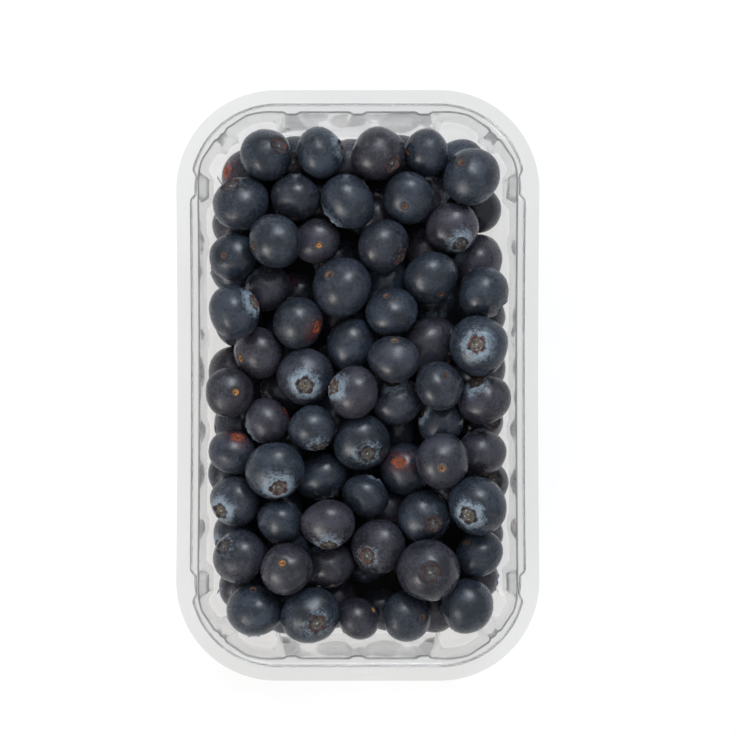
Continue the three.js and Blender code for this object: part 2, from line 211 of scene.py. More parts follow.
PLASTIC_IOR = 1.5
FRUIT_IOR = 1.42
RIM_RISE = (-0.0012, -0.0007)  # heights over the wall, in metres, between which the tint changes
STEP_RISE = (0.0005, 0.0015)
FLOOR_FALL = (0.0025, 0.0012)  # and heights over the ground
DRAWN_WALL = (0.92, 0.92, 0.917), (0.95, 0.95, 0.947)
# The floor's tint, darker than the walls', is partly the sheet's own tint and partly painted shade of
# the walls and berries
FLOOR_TINT_AND_SHADE = (0.805, 0.8, 0.795)
# The ledge's tint, darker than the flange's, is partly the sheet's own tint and partly painted shade of
# the step
LEDGE_TINT_AND_SHADE = (0.7, 0.705, 0.705)
SHADE_TINT = (0.93, 0.93, 0.93, 1)  # of the shadow that the sheet throws
BERRY_HUES = (0.86, 0.98, 1.05), (1.13, 0.96, 0.98)
TORN = (0.94, 0.96)  # draws between which a skin comes to be torn round its scar
BLUSH = (0.1, 0.028, 0.03)
FLESH = (0.25, 0.05, 0.017), (0.075, 0.013, 0.01)
CROWN_GREY = (0.04, 0.042, 0.05)
CROWN_CRUMB = (0.18, 0.16, 0.14)
CROWN_MIDDLE = (0.4, 0.37, 0.3)
CROWN_DRY = (0.02, 0.015, 0.016)
CROWN_CRACK = (0.008, 0.006, 0.006)
SCAR_DULL = (0.05, 0.034, 0.028), (0.17, 0.1, 0.06)
SCAR_WOUND = (0.28, 0.055, 0.018)
SCAR_CRACK = (0.06, 0.024, 0.014)
# The scar's near-black middle is partly its own colour and partly painted shade in its hollow
SCAR_PIT_AND_SHADE = (0.012, 0.008, 0.007)
SCAR_RIM = (0.022, 0.018, 0.018)
SCAR_HALO = (0.1, 0.085, 0.08)
# The core's near-black is painted shade deep inside the heap
CORE_PAINTED_SHADE = (0.002, 0.002, 0.003), (0.006, 0.006, 0.008)
TABLE_PALE = (0.24, 0.24, 0.24), (0.26, 0.26, 0.26)


def clamp(value, low, high):
    return min(max(value, low), high)


def mix(start, end, share):
    return start + (end - start) * share


def ease(share):
    share = clamp(share, 0, 1)
    return share * share * (3 - 2 * share)


def bell(offset, width):
    return math.exp(-((offset / width) ** 2))


def mm(value):
    """A setting in metres as millimetres, to the nearest thousandth."""
    return round(value * 1000, 3)


# Settings


def size(name, description, default):
    kind = {"precision": 4, "subtype": "DISTANCE", "unit": "LENGTH"}
    return FloatProperty(name=name, description=description, default=default, min=0, **kind)


def level(name, description, default, high=1):
    return FloatProperty(name=name, description=description, default=default, min=0, max=high)


def colour(name, description, default):
    kind = {"min": 0, "max": 1, "size": 3, "subtype": "COLOR"}
    return FloatVectorProperty(name=name, description=description, default=default, **kind)


class TraySettings(PropertyGroup):
    rim_length: size("Rim Length", "Length of the tray over its flange", 0.187)
    rim_width: size("Rim Width", "Width of the tray over its flange", 0.115)
    height: size("Height", "Height of the tray from its floor to its flange", 0.047)
    sheet: size("Sheet", "Thickness of the plastic", 0.0006)
    corner_radius: size("Corner Radius", "Outer radius of the flange's corners", 0.0317)
    waist: size("Waist", "How far the long sides draw in at their middle", 0.0004)
    flange_width: size("Flange Width", "Width of the flat flange", 0.0048)
    step_depth: size("Step Depth", "Drop from the flange down to the ledge", 0.003)
    ledge_width: size("Ledge Width", "Width of the ledge inside the step", 0.002)
    bend_radius: size("Bend Radius", "Rounding of the bends in the sheet", 0.00075)
    tint: colour("Flange Tint", "Colour of light that has passed the flange", (0.785, 0.79, 0.785))


class BerrySettings(PropertyGroup):
    count: IntProperty(name="Count", description="Number of berries", default=112, min=1)
    seed: IntProperty(name="Seed", description="Seed of the heap", default=139, min=1)
    smallest: size("Smallest Radius", "Mean radius of the smallest berry", 0.007)
    largest: size("Largest Radius", "Mean radius of the largest berry", 0.0099)
    unevenness: level("Unevenness", "Depth of the hollows, over a berry's radius", 0.075)
    raggedness: size("Raggedness", "How torn the crowns are", 0.0004)
    skin: colour("Skin", "Skin where its bloom is rubbed off", (0.015, 0.0163, 0.0205))
    bloom: colour("Bloom", "Waxy bloom on the skin", (0.0365, 0.0435, 0.0595))
    frost: colour("Frost", "Thick bloom round the crown", (0.2, 0.255, 0.31))
    crown: colour("Crown", "Dried disc of the crown", (0.1, 0.085, 0.068))
    sepal: colour("Sepals", "Dried tips of the crown", (0.08, 0.028, 0.022))
    scar: colour("Scar", "Fresh scar where the stem was", (0.5, 0.22, 0.06))


class StageSettings(PropertyGroup):
    camera_height: size("Camera Height", "Height of the camera over the flange", 2.0)
    camera_x: size("Camera X", "Place of the camera across the tray", 0.00307)
    camera_y: size("Camera Y", "Place of the camera along the tray", 0.00567)
    view_width: size("View Width", "Width of the picture at the flange", 0.2327)
    floor_size: size("Floor Size", "Width of the floor", 8)
    glow: level("Floor Glow", "Brightness of the floor's own light", 0.75, 10)
    sky: level("Surroundings", "Brightness of the pale surroundings overhead", 0.6, 10)
    cool_power: level("Cool Light", "Power of the light behind the tray, in watts", 20, 1000)
    warm_power: level("Warm Light", "Power of the light in front of it, in watts", 14.8, 1000)


# Node trees written as Python expressions


class Socket:
    """The output of a node. Arithmetic on it adds Math nodes."""

    def __init__(self, tree, output):
        self.tree = tree
        self.output = output

    def __add__(self, other):
        return self.tree.math("ADD", self, other)

    def __sub__(self, other):
        return self.tree.math("SUBTRACT", self, other)

    def __rsub__(self, other):
        return self.tree.math("SUBTRACT", other, self)

    def __mul__(self, other):
        return self.tree.math("MULTIPLY", self, other)

    def __pow__(self, other):
        return self.tree.math("POWER", self, other)

    __radd__ = __add__
    __rmul__ = __mul__


class Tree:
    """A node tree, with a method for its nodes and a few for common steps."""

    def __init__(self, tree):
        self.tree = tree
        tree.nodes.clear()

    def node(self, kind, settings=None, inputs=None, output=0):
        """Adds a node, sets its settings, then the values or links of its sockets."""
        made = self.tree.nodes.new(kind)
        for name, value in (settings or {}).items():
            setattr(made, name, value)
        for name, value in (inputs or {}).items():
            if isinstance(value, Socket):
                self.tree.links.new(value.output, made.inputs[name])
            else:
                made.inputs[name].default_value = value
        return Socket(self, made.outputs[output]) if made.outputs else made

    def math(self, operation, *values):
        return self.node("ShaderNodeMath", {"operation": operation}, dict(enumerate(values)))

    def vector(self, operation, *values):
        return self.node("ShaderNodeVectorMath", {"operation": operation}, dict(enumerate(values)))

    def blend(self, amount, low, high, way="MIX"):
        """A colour between two colours, or mixed from them in another way."""
        low, high = (c if isinstance(c, Socket) else (*c, 1) for c in (low, high))
        settings = {"data_type": "RGBA", "blend_type": way}
        return self.node("ShaderNodeMix", settings, {0: amount, 6: low, 7: high}, 2)

    def stretch(self, value, low, high):
        """A value between low and high, eased to lie between 0 and 1."""
        inputs = {"Value": value, "From Min": low, "From Max": high}
        return self.node("ShaderNodeMapRange", {"interpolation_type": "SMOOTHSTEP"}, inputs)

    def noise(self, place, scale, detail=2.0, rough=0.5, output="Fac"):
        inputs = {"Vector": place, "Scale": scale, "Detail": detail, "Roughness": rough}
        return self.node("ShaderNodeTexNoise", {}, inputs, output)

    def attribute(self, name, output="Vector"):
        return self.node("ShaderNodeAttribute", {"attribute_name": name}, {}, output)

    def parts(self, vector):
        """The three numbers of a vector."""
        made = self.node("ShaderNodeSeparateXYZ", {}, {0: vector}).output.node
        return [Socket(self, output) for output in made.outputs]


class Surface(Tree):
    """The node tree of a new material."""

    def __init__(self, name):
        self.material = bpy.data.materials.new(name)
        self.material.use_nodes = True
        super().__init__(self.material.node_tree)
        self.place = self.node("ShaderNodeTexCoord", {}, {}, "Object")

    def grain(self, noise):
        return self.noise(self.place, *noise)

    def bump(self, height, relief):
        distance, strength = relief
        inputs = {"Height": height, "Distance": distance, "Strength": strength}
        return self.node("ShaderNodeBump", {}, inputs)

    def principled(self, inputs):
        return self.node("ShaderNodeBsdfPrincipled", {}, inputs)

    def finish(self, shader):
        self.node("ShaderNodeOutputMaterial", {}, {"Surface": shader})
        return self.material


# Materials. A mask is a sum of grains and places, which stretch turns into a share between two tints


def clear_plastic(tint, wall_top):
    """Glossy clear sheet that lets the light of lamps through to what it holds. Its flange
    and ledge are thicker than its drawn walls, and take more light. Its ledge is tinted darker
    than its flange, and its floor darker than its walls, partly the sheet's own tint and partly painted
    shade."""
    surface = Surface("clear_plastic")
    wave, ripple, haze = map(surface.grain, (PLASTIC_WAVE, PLASTIC_RIPPLE, PLASTIC_HAZE))
    _, _, z = surface.parts(surface.place)
    over = z - wall_top
    rim = surface.stretch(over, *RIM_RISE)
    step = surface.stretch(over, *STEP_RISE)
    # Painted shade: the tray's floor is tinted darker than its walls
    flat = surface.stretch(z, *FLOOR_FALL)
    drawn = surface.blend(flat, surface.blend(haze, *DRAWN_WALL), FLOOR_TINT_AND_SHADE)
    # Painted shade: the ledge is tinted darker than the flange
    thick = surface.blend(step, LEDGE_TINT_AND_SHADE, tint)
    inputs = {
        "Base Color": surface.blend(rim, drawn, thick),
        "Roughness": (0.06 - 0.03 * rim) + 0.05 * haze,
        "IOR": PLASTIC_IOR,
        "Transmission Weight": 1.0,
        "Normal": surface.bump(wave + 0.025 * ripple, PLASTIC_RELIEF),
    }
    sheet = surface.principled(inputs)
    clear = surface.node("ShaderNodeBsdfTransparent", {}, {"Color": SHADE_TINT})
    shadow = surface.node("ShaderNodeLightPath", {}, {}, "Is Shadow Ray")
    thin = surface.math("MAXIMUM", shadow, THIN_SHARE)
    return surface.finish(surface.node("ShaderNodeMixShader", {}, {0: thin, 1: sheet, 2: clear}))


class Wax(Surface):
    """Blue-black skin with a blotchy, scratched bloom that turns to frost round the crown."""

    def __init__(self, name, settings):
        super().__init__(name)
        spot = self.attribute("spot")
        mood = self.attribute("mood")
        self.tone, self.dust, self.torn = self.parts(mood)
        x, y, self.up = self.parts(spot)
        fine, middle, broad = map(self.grain, (SKIN_FINE, SKIN_MIDDLE, SKIN_BROAD))
        along = self.vector("MULTIPLY", spot, STREAK_STRETCH)
        apart = self.vector("MULTIPLY", mood, STREAK_APART)
        streak = self.noise(self.vector("ADD", along, apart), *SKIN_STREAK)
        self.out = (x * x + y * y) ** 0.5
        wave = self.math("COSINE", CROWN_LOBES * self.math("ARCTAN2", y, x))
        self.star = self.out - 0.025 * wave + 0.12 * middle - 0.06

        worn = 0.5 * fine + 1.1 * middle + 1.5 * broad + streak + 0.2 * self.dust
        self.cloud = self.stretch(worn, 1.7, 2.7)
        above = self.stretch(self.up, 0.0, 0.2)
        thick = self.stretch(self.star, 0.95, 0.3) * above * self.stretch(self.dust, -0.4, 0.9)
        rime = thick + 0.9 * middle + 0.9 * fine + 0.7 * streak + 0.8 * broad
        self.frost = self.stretch(rime, 2.1, 2.8)
        skin = self.blend(self.cloud, settings.skin, settings.bloom)
        hue = self.blend(self.stretch(self.tone + 0.8 * broad, 0.55, 1.25), *BERRY_HUES)
        skin = self.blend(1.0, skin, hue, "MULTIPLY")
        self.colour = self.blend(self.frost, skin, settings.frost)
        self.coarseness = fine + 0.7 * middle

    def fruit(self, tint, roughness, height, relief):
        """The finished material, with this tint and relief."""
        normal = self.bump(height, relief)
        inputs = {"Base Color": tint, "Roughness": roughness, "IOR": FRUIT_IOR, "Normal": normal}
        return self.finish(self.principled(inputs))


def berry_skin(settings):
    """Skin, now and then torn to orange flesh round its stem scar."""
    wax = Wax("berry_skin", settings)
    patch = wax.grain(FLESH_PATCH)
    wound = wax.stretch(wax.torn, *TORN) * wax.stretch(wax.up, -0.1, -0.4)
    blush = wound * wax.stretch(wax.out, 0.75, 0.25) * wax.stretch(patch, 0.35, 0.6)
    skin = wax.blend(0.6 * blush, wax.colour, BLUSH)
    bare = wound * wax.stretch(wax.out + 0.7 * patch, 0.62, 0.5)
    skin = wax.blend(bare, skin, wax.blend(wax.stretch(patch, 0.4, 0.6), *FLESH))
    roughness = 0.19 + 0.17 * wax.cloud + 0.2 * wax.frost
    return wax.fruit(skin, roughness, wax.coarseness, SKIN_RELIEF)


def berry_crown(settings):
    """Dried crown: a grey-brown disc with a pale middle, and dark torn sepals."""
    wax = Wax("berry_crown", settings)
    knot = wax.attribute("knot", "Fac")
    fine, coarse = map(wax.grain, (CROWN_FINE, CROWN_COARSE))
    crumb = fine + 0.8 * coarse
    grey = wax.blend(wax.dust, CROWN_GREY, settings.crown)
    disc = wax.blend(wax.stretch(crumb, 0.98, 1.2), grey, CROWN_CRUMB)
    nub = wax.stretch(wax.out + 0.05 * fine, 0.08, 0.05)
    disc = wax.blend(0.6 * nub, disc, CROWN_MIDDLE)
    red = wax.stretch(wax.torn, 0.2, 0.7) * wax.stretch(coarse + 0.5 * fine, 0.58, 0.84)
    dry = wax.blend(red, CROWN_DRY, settings.sepal)
    rough = knot + 2.5 * wax.out + 0.5 * fine + 0.4 * coarse
    body = wax.blend(wax.stretch(rough, 0.95, 1.35), disc, dry)
    body = wax.blend(wax.stretch(crumb, 0.86, 0.74), body, CROWN_CRACK)
    edge = wax.stretch(wax.star + 0.2 * coarse + 0.05 * fine, 0.4, 0.47)
    body = wax.blend(edge, body, wax.colour)
    return wax.fruit(body, 0.68 + 0.25 * fine, fine, CROWN_RELIEF)


def berry_scar(settings):
    """Corky scar with a darker rim, orange where it is fresh. Its near-black middle is partly its own
    colour and partly painted shade in its hollow.
    """
    wax = Wax("berry_scar", settings)
    fine, coarse = map(wax.grain, (SCAR_FINE, SCAR_COARSE))
    ragged = wax.out + 0.16 * coarse - 0.08
    wound = wax.stretch(wax.torn, *TORN)
    dull = wax.blend(wax.dust, *SCAR_DULL)
    bright = wax.blend(wax.stretch(wax.tone, 0.55, 0.75), dull, settings.scar)
    bright = wax.blend(wound, bright, SCAR_WOUND)
    cork = wax.blend(wax.stretch(fine + 0.5 * coarse, 0.62, 0.85), SCAR_CRACK, bright)
    # Painted shade, on top of the scar's own dark middle, where its hollow is deepest
    pit = wax.stretch(ragged + 0.04 * fine, 0.08, 0.05)
    cork = wax.blend(0.85 * pit, cork, SCAR_PIT_AND_SHADE)
    rim = wax.stretch(ragged, 0.11, 0.14) * (1 - 0.8 * wound)
    cork = wax.blend(rim, cork, SCAR_RIM)
    halo = wax.blend(wax.stretch(wax.dust, 0.6, 0.8), wax.colour, SCAR_HALO)
    cork = wax.blend(wax.stretch(ragged, 0.145, 0.165) * (1 - wound), cork, halo)
    outside = wax.stretch(wax.out + 0.03 * fine, 0.19, 0.215) * (1 - 0.8 * wound)
    cork = wax.blend(outside, cork, wax.colour)
    return wax.fruit(cork, 0.5 + 0.3 * fine, fine, SCAR_RELIEF)


def heap_painted_shade():
    """Near-black painted shade that stands for the berries too deep in the heap to be told apart."""
    surface = Surface("heap_painted_shade")
    # Painted shade: a near-black body where the heap is only shade
    blotch = surface.grain(CORE_BLOTCH)
    inputs = {
        "Base Color": surface.blend(blotch, *CORE_PAINTED_SHADE),
        "Roughness": 0.5 + 0.3 * blotch,
        "Specular IOR Level": 0.1,
    }
    return surface.finish(surface.principled(inputs))


def pale_floor(glow):
    """Pale table lit softly from below, which thins out the shadows on it."""
    surface = Surface("pale_floor")
    inputs = {
        "Base Color": surface.blend(surface.grain(TABLE_SPECK), *TABLE_PALE),
        "Roughness": 0.9,
        "Specular IOR Level": 0.0,
        "Emission Color": (*WHITE, 1.0),
        "Emission Strength": glow,
    }
    return surface.finish(surface.principled(inputs))


# Meshes


def new_object(name, points, faces, material=None):
    """An object at the origin whose mesh is smooth and made of these points, in metres."""
    mesh = bpy.data.meshes.new(name)
    mesh.from_pydata(points, [], faces)
    mesh.shade_smooth()
    if material is not None:
        mesh.materials.append(material)
    made = bpy.data.objects.new(name, mesh)
    bpy.context.scene.collection.objects.link(made)
    return made


def ring_mesh(rings, first, last=None):
    """Points and faces through closed rings of points, with a point that closes the first
    ring and perhaps one for the last."""
    columns = len(rings[0])
    steps = [(column, (column + 1) % columns) for column in range(columns)]
    points = [point for ring in rings for point in ring]
    faces = []
    for here in range(0, len(points) - columns, columns):
        there = here + columns
        faces += [(there + a, there + b, here + b, here + a) for a, b in steps]
    faces += [(len(points), a, b) for a, b in steps]
    points.append(first)
    if last:
        faces += [(there + b, there + a, len(points)) for a, b in steps]
        points.append(last)
    return points, faces


def set_attribute(mesh, name, values, kind="FLOAT_VECTOR"):
    """Gives each point of a mesh a vector, a turn or a number."""
    if kind != "FLOAT":
        values = [number for value in values for number in value]
    field = "vector" if kind == "FLOAT_VECTOR" else "value"
    mesh.attributes.new(name, kind, "POINT").data.foreach_set(field, values)


def hand_over(piece, node):
    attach(piece, "root")
    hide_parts(node)


# Tray


class TrayShape(NamedTuple):
    """The tray in millimetres. A reach is a distance outwards from the rectangle whose
    corners are the centres of the four corner arcs."""

    sheet: float
    height: float
    centre_x: float
    centre_y: float
    waist: float
    flange_reach: float
    step_reach: float
    ledge_reach: float
    wall_reach: float
    wall_top: float

    @property
    def wall_foot(self):
        return self.sheet + FOOT_RADIUS

    @property
    def corner_arc(self):
        return self.wall_reach * math.pi / 2

    @property
    def quarter(self):
        return self.centre_y + self.corner_arc + self.centre_x


def tray_shape(settings):
    corner = mm(settings.corner_radius)
    height = mm(settings.height)
    step_reach = corner - mm(settings.flange_width)
    ledge_reach = step_reach - STEP_LEAN
    return TrayShape(
        sheet=mm(settings.sheet),
        height=height,
        centre_x=mm(settings.rim_width) / 2 - corner,
        centre_y=mm(settings.rim_length) / 2 - corner,
        waist=mm(settings.waist),
        flange_reach=corner,
        step_reach=step_reach,
        ledge_reach=ledge_reach,
        wall_reach=ledge_reach - mm(settings.ledge_width),
        wall_top=height - mm(settings.step_depth),
    )


class Station(NamedTuple):
    """A column of points down the wall: its rib, its places along the quarter outline at
    the ledge and at the floor, and its share of the rib's depth at both."""

    kind: str
    top: float
    foot: float
    lift_top: float = 0
    lift_foot: float = 0


def rib(kind, at, crest, half, foot_crest, foot_half):
    """The four stations of a rib, from flank to flank."""
    return [
        Station(kind, at - half, at - foot_half),
        Station(kind, at - crest, at - foot_crest, 1, 1),
        Station(kind, at + crest, at + foot_crest, 1, 1),
        Station(kind, at + half, at + foot_half),
    ]


def quarter_stations(shape):
    """From the middle of a long side, round the corner, to the middle of an end."""
    middle = shape.centre_y + shape.corner_arc / 2
    outer = shape.quarter - END_RIB_PITCH
    inner = shape.quarter
    return [
        Station("plain", 0, 0),
        *(post for at in SIDE_RIBS_AT for post in rib("side", at, *SIDE_RIB_WIDTHS)),
        *rib("lug", LUG_AT, *LUG_WIDTHS),
        *rib("corner", middle, *CORNER_RIB_WIDTHS),
        *rib("end", outer, *END_RIB_WIDTHS)[:3],
        Station("end", outer + RIB_HALF, outer + END_POCKET_FOOT, 0, 1),
        Station("end", inner - RIB_HALF, inner - END_POCKET_FOOT, 0, 1),
        rib("end", inner, *END_RIB_WIDTHS)[1],
        Station("end", inner, inner, 1, 1),
    ]


def fine_stations(shape):
    """The stations with columns between them, so that flanks and corners are smooth."""
    posts = quarter_stations(shape)
    fine = []
    for a, b in zip(posts, posts[1:]):
        kind = a.kind if a.lift_top or a.lift_foot else b.kind
        flank = a[3:] != b[3:]
        steps = max(FLANK_COLUMNS if flank else 1, math.ceil((b.top - a.top) / COLUMN_GAP))
        for step in range(steps):
            along = step / steps
            places = mix(a.top, b.top, along), mix(a.foot, b.foot, along)
            along = ease(along)
            lifts = mix(a.lift_top, b.lift_top, along), mix(a.lift_foot, b.lift_foot, along)
            fine.append(Station(kind, *places, *lifts))
    return [*fine, posts[-1]]


def rib_depth(kind, down):
    """How deep a rib is at a share of the way from the ledge down to the floor."""
    if kind == "side":
        return SIDE_RIB_DEPTH * ease(down / SIDE_RIB_RISE)
    if kind == "lug":
        return LUG_DEPTH * min(down / LUG_RISE, 1)
    if kind == "corner":
        return mix(RIB_TOP_DEPTH, CORNER_RIB_FOOT_DEPTH, down)
    if kind == "end":
        return mix(RIB_TOP_DEPTH, END_RIB_FOOT_DEPTH, down)
    return 0


def corner_bulge(shape, angle):
    """The corner of the wall is two flat facets instead of a plain arc."""
    eighth = math.pi / 4
    off_middle = abs(angle - eighth)
    off_facet = min(off_middle, CORNER_FACET) - CORNER_FACET / 2
    bulge = shape.wall_reach * (1 / math.cos(off_facet) - 1) + CORNER_FULLNESS
    return bulge * clamp((eighth - off_middle) / (eighth - CORNER_FACET), 0, 1)


def outline_point(shape, along, reach, bulge, height, sign_x, sign_y):
    """A point of one of the four quarters, at a place along the outline."""
    angle = clamp((along - shape.centre_y) / shape.wall_reach, 0, math.pi / 2)
    outwards = reach + bulge * corner_bulge(shape, angle)
    x = shape.centre_x + outwards * math.cos(angle)
    y = shape.centre_y + outwards * math.sin(angle)
    if along < shape.centre_y:
        y = along
        x -= shape.waist * (1 - (along / shape.centre_y) ** 2)
    elif along > shape.centre_y + shape.corner_arc:
        x = shape.quarter - along
    return (sign_x * x * MM, sign_y * y * MM, height * MM)


def bend(before, corner, after, radius):
    """Points on a curve that rounds the corner between two others."""
    arms = []
    for end in (before, after):
        run = math.dist(corner[1:], end[1:])
        share = min(radius / run, BEND_SHARE)
        arms.append([mix(c, e, share) for c, e in zip(corner, end)])
    points = []
    for row in range(BEND_ROWS + 1):
        at = row / BEND_ROWS
        weights = (1 - at) ** 2, 2 * at * (1 - at), at**2
        parts = zip(arms[0], corner, arms[1])
        points.append([sum(w * v for w, v in zip(weights, values)) for values in parts])
    return points


def tray_profile(shape, post, radius):
    """Upper face of the sheet at a station, from the floor outwards to the flange's edge.
    Each point has its share down the wall, reach, bulge and height."""

    def depth(down):
        closing = min(down / POCKET_RUN, 1)
        return rib_depth(post.kind, down) * mix(post.lift_top, post.lift_foot, closing)

    foot = shape.wall_reach - WALL_LEAN - depth(1) - FOOT_RADIUS
    points = []
    for row in range(FOOT_ROWS):
        angle = math.pi / 2 * row / FOOT_ROWS
        rise = shape.wall_foot - FOOT_RADIUS * math.cos(angle)
        points.append((1, foot + FOOT_RADIUS * math.sin(angle), 1, rise))
    for down in WALL_ROWS:
        reach = shape.wall_reach - WALL_LEAN * down - depth(down)
        points.append((down, reach, 1, mix(shape.wall_top, shape.wall_foot, down)))
    inset = LUG_SHELF * post.lift_top if post.kind == "lug" else 0
    wall = (0, shape.wall_reach - depth(0), 1, shape.wall_top)
    ledge = (0, shape.ledge_reach - inset, 0, shape.wall_top)
    step = (0, shape.step_reach - inset, 0, shape.height)
    edge = (0, shape.flange_reach, 0, shape.height)
    points += bend(points[-1], wall, ledge, radius)
    points += bend(wall, ledge, step, radius)
    points += bend(ledge, step, edge, radius)
    points.append((0, mix(step[1], edge[1], 0.5), 0, shape.height))
    points.append(edge)
    return points


def tray_rings(shape, radius):
    """Rings of points round the tray, from the floor outwards to the flange's edge."""
    posts = fine_stations(shape)
    forwards = posts[:-1]
    backwards = posts[:0:-1]
    quadrants = (forwards, 1, 1), (backwards, -1, 1), (forwards, -1, -1), (backwards, 1, -1)
    columns = []
    for stations, sign_x, sign_y in quadrants:
        for post in stations:
            column = []
            for down, reach, bulge, height in tray_profile(shape, post, radius):
                along = mix(post.top, post.foot, down)
                column.append(outline_point(shape, along, reach, bulge, height, sign_x, sign_y))
            columns.append(column)
    return [list(ring) for ring in zip(*columns)]


def sheet_mesh(name, points, faces, edge, thick, material):
    """A sheet whose upper face has these points and faces. Edge is the ring of points round
    it, anticlockwise seen from above."""
    upper = new_object("upper_face", points, faces)
    normals = [vertex.normal.copy() for vertex in upper.data.vertices]
    bpy.data.objects.remove(upper)
    lower = [tuple(Vector(point) - thick * normal) for point, normal in zip(points, normals)]
    count = len(points)
    under = [tuple(count + corner for corner in reversed(face)) for face in faces]
    rim = []
    for here, after in zip(edge, [*edge[1:], edge[0]]):
        rim.append((after, here, count + here, count + after))
    made = new_object(name, points + lower, faces + under + rim, material)
    made.data.set_sharp_from_angle(angle=math.radians(CREASE))
    return made


def build_tray(settings):
    shape = tray_shape(settings)
    rings = tray_rings(shape, mm(settings.bend_radius))
    floor = [[(x * s, y * s, z) for x, y, z in rings[0]] for s in reversed(FLOOR_RINGS)]
    points, faces = ring_mesh(floor + rings, (0, 0, shape.sheet * MM))
    middle = len(points) - 1
    edge = list(range(middle - len(rings[0]), middle))
    material = clear_plastic(settings.tint, shape.wall_top * MM)
    made = sheet_mesh("punnet_shell", points, faces, edge, shape.sheet * MM, material)
    hand_over(made, "punnet")


# Heap: berries fall a little in equal steps and are shaken, and those that overlap push each other apart


def make_draw(seed):
    """Seeded draws between 0 and 1 from a multiplicative generator."""
    value = seed

    def draw():
        nonlocal value
        value = value * DRAW_FACTOR % DRAW_MODULUS
        return value / DRAW_MODULUS

    return draw


def rib_share(off, half):
    """How much of a rib's depth a berry feels at a distance from the rib's middle."""
    return clamp((half + RIB_CLEAR - off) / RIB_FADE, 0, 1)


def free_reach(shape, x, y, z):
    """The reach of the free space inside the wall at a place, with its ribs."""
    down = clamp((shape.wall_top - z) / (shape.wall_top - shape.wall_foot), 0, 1)
    over_x = abs(x) - shape.centre_x
    over_y = abs(y) - shape.centre_y
    end_rise = mix(RIB_TOP_DEPTH, END_RIB_FOOT_DEPTH, down)
    lug_rise = LUG_DEPTH * rib_share(abs(over_y), LUG_FELT)
    if over_x > 0 and over_y > 0:
        off_middle = abs(over_x - over_y) * math.sqrt(0.5)
        corner_rise = mix(RIB_TOP_DEPTH, CORNER_RIB_FOOT_DEPTH, down)
        corner = corner_rise * rib_share(off_middle, CORNER_RIB_WIDTHS[-1])
        rise = max(corner, end_rise * rib_share(over_x, 0), lug_rise)
    elif over_y > over_x:
        rise = end_rise
    else:
        off_rib = min(abs(abs(y) - at) for at in SIDE_RIBS_AT)
        rise = max(SIDE_RIB_FELT * rib_share(off_rib, SIDE_RIB_FELT_HALF), lug_rise)
    return shape.wall_reach - WALL_LEAN * down - rise


def hold_inside(shape, berry):
    """Keeps a berry over the floor and inside the walls."""
    x, y, z, radius = berry
    berry[2] = clamp(z, shape.sheet + radius + BERRY_GAP, HEAP_TOP - radius)
    limit = free_reach(shape, x, y, berry[2]) - radius - BERRY_GAP
    sign_x = 1 if x > 0 else -1
    sign_y = 1 if y > 0 else -1
    over_x = abs(x) - shape.centre_x
    over_y = abs(y) - shape.centre_y
    if over_x > 0 and over_y > 0:
        out = math.sqrt(over_x * over_x + over_y * over_y)
        if out > limit:
            berry[0] = sign_x * (shape.centre_x + (over_x * limit) / out)
            berry[1] = sign_y * (shape.centre_y + (over_y * limit) / out)
        return
    if over_x > limit:
        berry[0] = sign_x * (shape.centre_x + limit)
    if over_y > limit:
        berry[1] = sign_y * (shape.centre_y + limit)


def square_of(way):
    x, y, z = way
    return x * x + y * y + z * z


def way_between(a, b):
    return a[0] - b[0], a[1] - b[1], a[2] - b[2]


def near_pairs(berries):
    near = NEIGHBOUR_REACH * NEIGHBOUR_REACH
    return [(a, b) for a, b in combinations(berries, 2) if square_of(way_between(a, b)) < near]


def push_apart(a, b):
    way = way_between(a, b)
    square = square_of(way)
    reach = a[3] + b[3]
    if 0 < square < reach * reach:
        distance = math.sqrt(square)
        push = (0.5 * (reach - distance)) / distance
        for axis in range(3):
            a[axis] += way[axis] * push
            b[axis] -= way[axis] * push


def draw_axis(draw):
    """A direction drawn evenly over the sphere."""
    while True:
        way = [2 * draw() - 1 for _ in range(3)]
        square = square_of(way)
        if SHORTEST_DRAW < square < 1:
            length = math.sqrt(square)
            return Vector([part / length for part in way])


class Berry(NamedTuple):
    place: Vector  # in metres
    radius: float  # in metres
    axis: Vector
    pole: float


@lru_cache(maxsize=1)
def settled_berries(shape, count, smallest, largest, seed):
    draw = make_draw(seed)
    berries = []
    for index in range(count):
        middling = (draw() + draw()) / 2
        radius = mix(smallest, largest, middling)
        x = (2 * draw() - 1) * (shape.centre_x + START_SPREAD)
        y = (2 * draw() - 1) * (shape.centre_y + START_SPREAD)
        z = shape.sheet + radius + (index * START_HEIGHT) / count
        berries.append([x, y, z, radius])
    for step in range(SETTLE_STEPS):
        if step % NEIGHBOUR_STEPS == 0:
            pairs = near_pairs(berries)
        done = step / SETTLE_STEPS
        fall = 0 if done > FALL_SHARE else FALL * (1 - done)
        shake = SHAKE * clamp(1 - done / SHAKE_SHARE, 0, 1)
        for berry in berries:
            berry[0] += shake * (2 * draw() - 1)
            berry[1] += shake * (2 * draw() - 1)
            berry[2] += SHAKE_UP * shake * (2 * draw() - 1) - fall
        for a, b in pairs:
            push_apart(a, b)
        for berry in berries:
            hold_inside(shape, berry)
    settled = []
    for x, y, z, radius in berries:
        axis = draw_axis(draw)
        pole = mix(BERRY_POLE_LOW, BERRY_POLE_HIGH, draw())
        settled.append(Berry(Vector((x, y, z)) * MM, radius * MM, axis, pole))
    return settled


# One berry: skin, crown and stem scar


def template(name, rings, *poles):
    """A shape round the berry's axis, each point of which carries its place on the berry."""
    points, faces = ring_mesh(rings, *poles)
    made = new_object(name, points, faces)
    set_attribute(made.data, "spot", points)
    return made


def turns_round(columns, way=1):
    """Angles evenly round an axis."""
    return [way * 2 * math.pi * column / columns for column in range(columns)]


